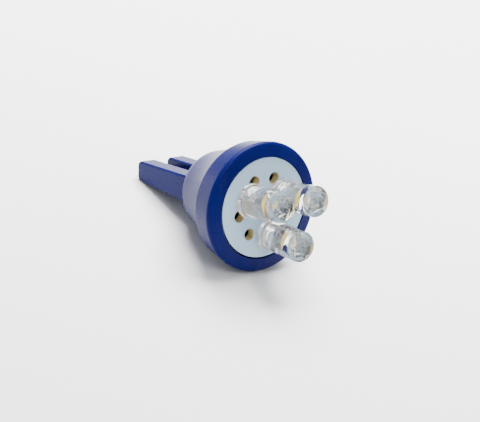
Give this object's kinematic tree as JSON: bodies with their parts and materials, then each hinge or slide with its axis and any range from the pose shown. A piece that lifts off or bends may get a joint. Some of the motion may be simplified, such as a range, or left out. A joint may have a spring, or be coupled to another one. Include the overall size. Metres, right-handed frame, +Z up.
{
  "type": "wedge led bulb",
  "caption": "Push-in wedge-base lamp: a round cup-shaped plastic housing holds a circuit board with clear upright LEDs, and two rails joined by a web push into a socket.",
  "frame": {"origin": "centre of the bounding box's bottom face, on the surface that the bulb lies on", "axes": "+X from the wedge towards the LEDs, Y across the wedge's width, +Z up; the bulb's own axis leans 18.1 degrees up from +X"},
  "size_m": [0.0406, 0.0216, 0.0212],
  "materials": {
    "housing_plastic": "glossy moulded plastic, dark navy blue",
    "clear_epoxy": "water-clear cast epoxy",
    "board_laminate": "pale blue-grey coated laminate, cut edge olive brown",
    "track_copper": "etched copper foil",
    "lead_frame": "silver-plated steel strip",
    "led_chip": "sapphire chip",
    "bond_gold": "drawn gold wire",
    "phosphor": "cast yellow phosphor gel",
    "resistor_coat": "dipped lacquer, plain tan",
    "tinned_wire": "bright tinned copper wire",
    "solder": "hand-made solder fillets"
  },
  "bodies": {
    "root": {"housing": "housing_plastic", "circuit_board": "board_laminate", "copper_tracks": "track_copper", "solder_joints": "solder", "resistor_body": "resistor_coat", "resistor_lead": "tinned_wire", "contact_wire_upper": "tinned_wire", "contact_wire_lower": "tinned_wire", "lens_right": "clear_epoxy", "anvil_right": "lead_frame", "post_right": "lead_frame", "die_right": "led_chip", "bond_wire_right": "bond_gold", "phosphor_right": "phosphor", "lens_lower": "clear_epoxy", "anvil_lower": "lead_frame", "post_lower": "lead_frame", "die_lower": "led_chip", "bond_wire_lower": "bond_gold", "phosphor_lower": "phosphor", "lens_left": "clear_epoxy", "anvil_left": "lead_frame", "post_left": "lead_frame", "die_left": "led_chip", "bond_wire_left": "bond_gold", "phosphor_left": "phosphor"}
  },
  "joints": []
}
